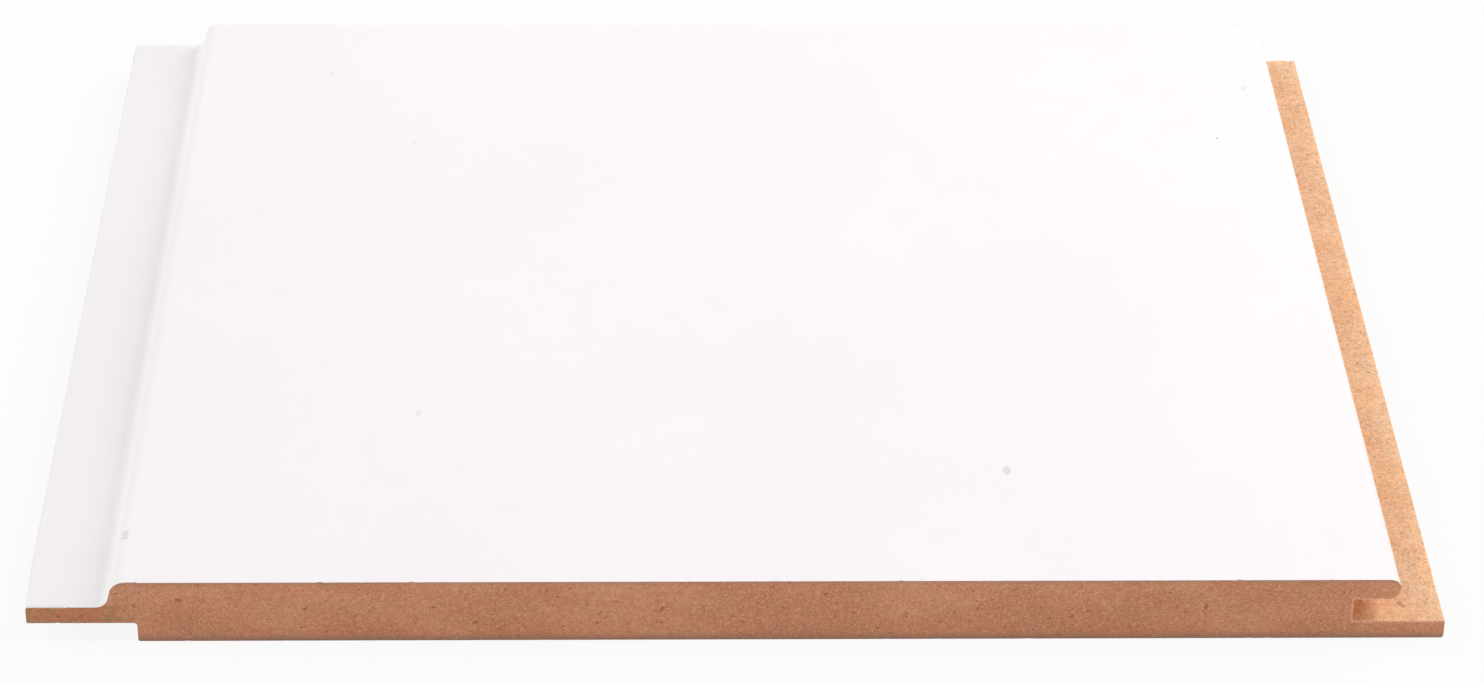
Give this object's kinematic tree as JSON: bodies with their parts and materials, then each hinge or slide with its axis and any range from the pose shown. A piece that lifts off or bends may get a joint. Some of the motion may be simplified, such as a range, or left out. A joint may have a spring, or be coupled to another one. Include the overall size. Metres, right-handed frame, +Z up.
{
  "type": "mdf wall panel",
  "caption": "Short length of flat fibreboard wall panel, lacquered on the face, with a milled tongue, a groove under a bull-nosed edge and a long fixing lip.",
  "frame": {"origin": "under the middle of the board, in the plane of its back", "axes": "+X across the panel from the tongue to the groove, +Y along it, +Z up out of the lacquered face"},
  "size_m": [0.24, 0.2, 0.012],
  "materials": {
    "lacquered_fibreboard": "white satin lacquer on the face, the nose, the face shoulder and the top of the tongue",
    "raw_fibreboard": "bare reddish-brown fibreboard on the sawn ends, the groove, the fixing lip and the back"
  },
  "bodies": {
    "root": {"panel": "lacquered_fibreboard"}
  },
  "joints": []
}
